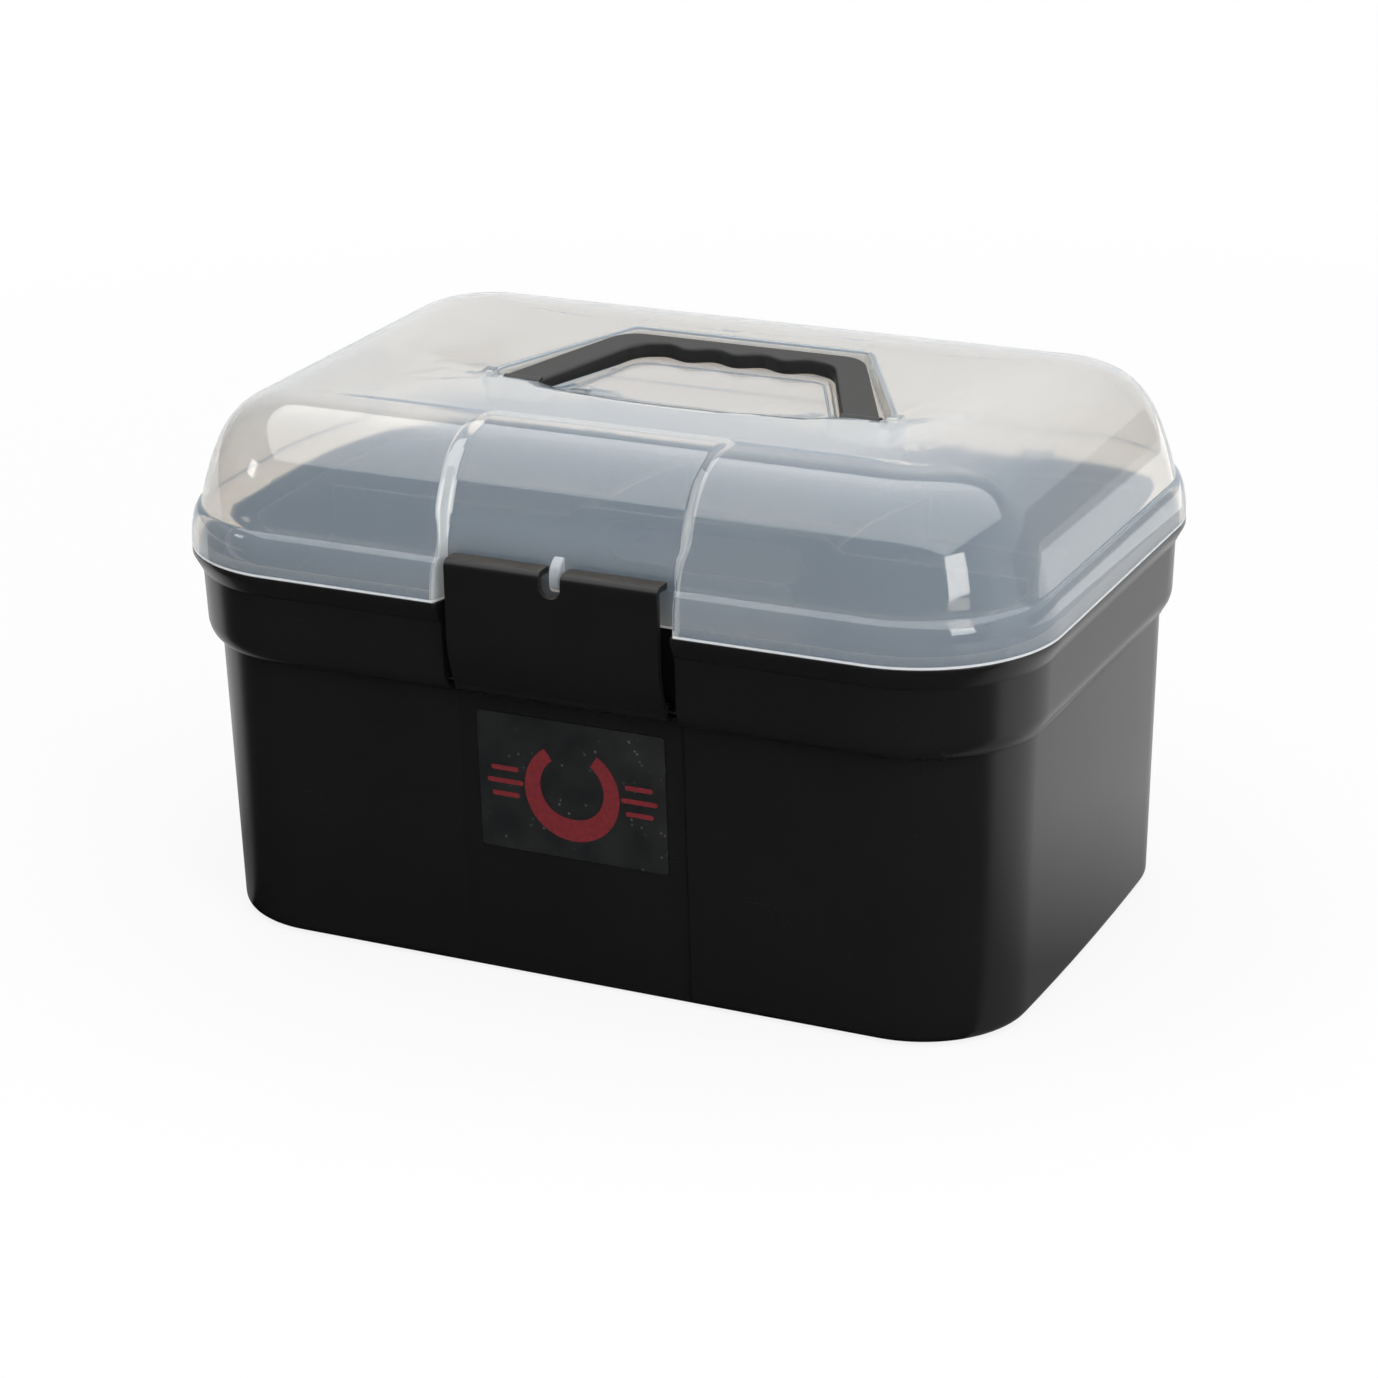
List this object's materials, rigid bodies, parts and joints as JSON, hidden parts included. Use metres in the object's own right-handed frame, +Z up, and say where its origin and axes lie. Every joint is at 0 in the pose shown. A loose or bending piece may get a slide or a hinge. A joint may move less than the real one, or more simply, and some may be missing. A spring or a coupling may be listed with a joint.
{
  "type": "horse grooming box",
  "caption": "Moulded grooming box: tapered black tub with collar, milky domed lid hinged at the back, fold-down carry handle, front latch and lift-out tray.",
  "frame": {"origin": "middle of the ring that the tub stands on, on the floor", "axes": "+X along the box's length, +Y towards the hinged back, +Z up; the latch faces -Y"},
  "size_m": [0.4, 0.2814, 0.24],
  "materials": {
    "black_plastic": "glossy black polypropylene",
    "handle_plastic": "satin black polypropylene",
    "tray_plastic": "satin black polypropylene",
    "milky_plastic": "milky translucent polypropylene",
    "label_film": "printed film",
    "pin_steel": "drawn steel wire"
  },
  "bodies": {
    "tub": {"tub": "black_plastic", "front_label": "label_film", "hinge_pin_left": "pin_steel", "hinge_pin_right": "pin_steel", "latch_rod": "pin_steel"},
    "tray": {"lift_out_tray": "tray_plastic"},
    "lid": {"lid": "milky_plastic"},
    "handle": {"carry_handle": "handle_plastic", "handle_pin_left": "pin_steel", "handle_pin_right": "pin_steel"},
    "latch": {"front_latch": "black_plastic"}
  },
  "joints": [
    {"name": "lid_hinge", "type": "hinge", "parent": "tub", "child": "lid", "pos_m": [0, 0.1407, 0.1705], "axis": [-1, 0, 0], "range_deg": [0, 105]},
    {"name": "latch_swing", "type": "hinge", "parent": "tub", "child": "latch", "pos_m": [0, -0.12665, 0.136], "axis": [1, 0, 0], "range_deg": [0, 110]},
    {"name": "handle_fold", "type": "hinge", "parent": "lid", "child": "handle", "pos_m": [0, 0, 0.22703], "axis": [1, 0, 0], "range_deg": [0, 90]},
    {"name": "tray_lift", "type": "slide", "parent": "tub", "child": "tray", "axis": [0, 0, 1], "range_m": [0, 0.012]}
  ]
}
